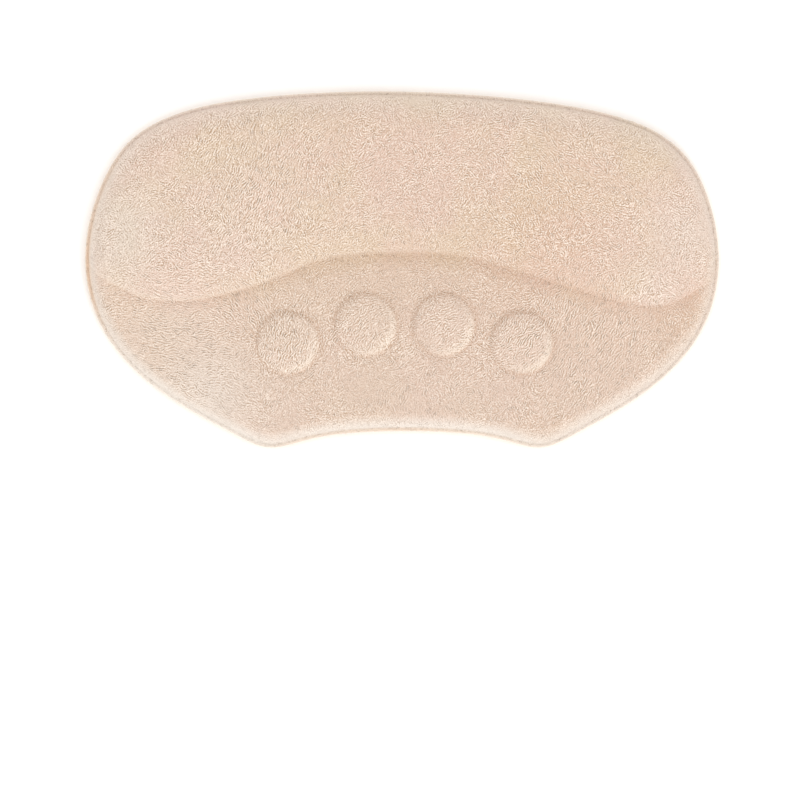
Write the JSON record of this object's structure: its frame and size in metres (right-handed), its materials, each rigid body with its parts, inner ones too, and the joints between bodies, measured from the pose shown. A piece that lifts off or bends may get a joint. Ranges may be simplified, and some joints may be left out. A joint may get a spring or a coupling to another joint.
{
  "type": "heel grip",
  "caption": "Moulded suede heel grip pad for a shoe's back, with a thick upper bulge, a curved ledge, a hollow with raised round bumps and a flat sticky back.",
  "frame": {"origin": "middle of the flat back, on the surface that the pad lies on", "axes": "+X across the pad to the right as the face is seen, +Y from the notched lower edge to the top edge, +Z from the back to the face"},
  "size_m": [0.105, 0.059, 0.0082],
  "materials": {
    "suede_fabric": "brushed microfibre suede, matt",
    "moulded_foam": "cut edge of a soft open foam, matt",
    "adhesive_sheet": "thin film over sticky gel, satin"
  },
  "bodies": {
    "root": {"fabric_cover": "suede_fabric", "foam_core": "moulded_foam", "adhesive_backing": "adhesive_sheet"}
  },
  "joints": []
}
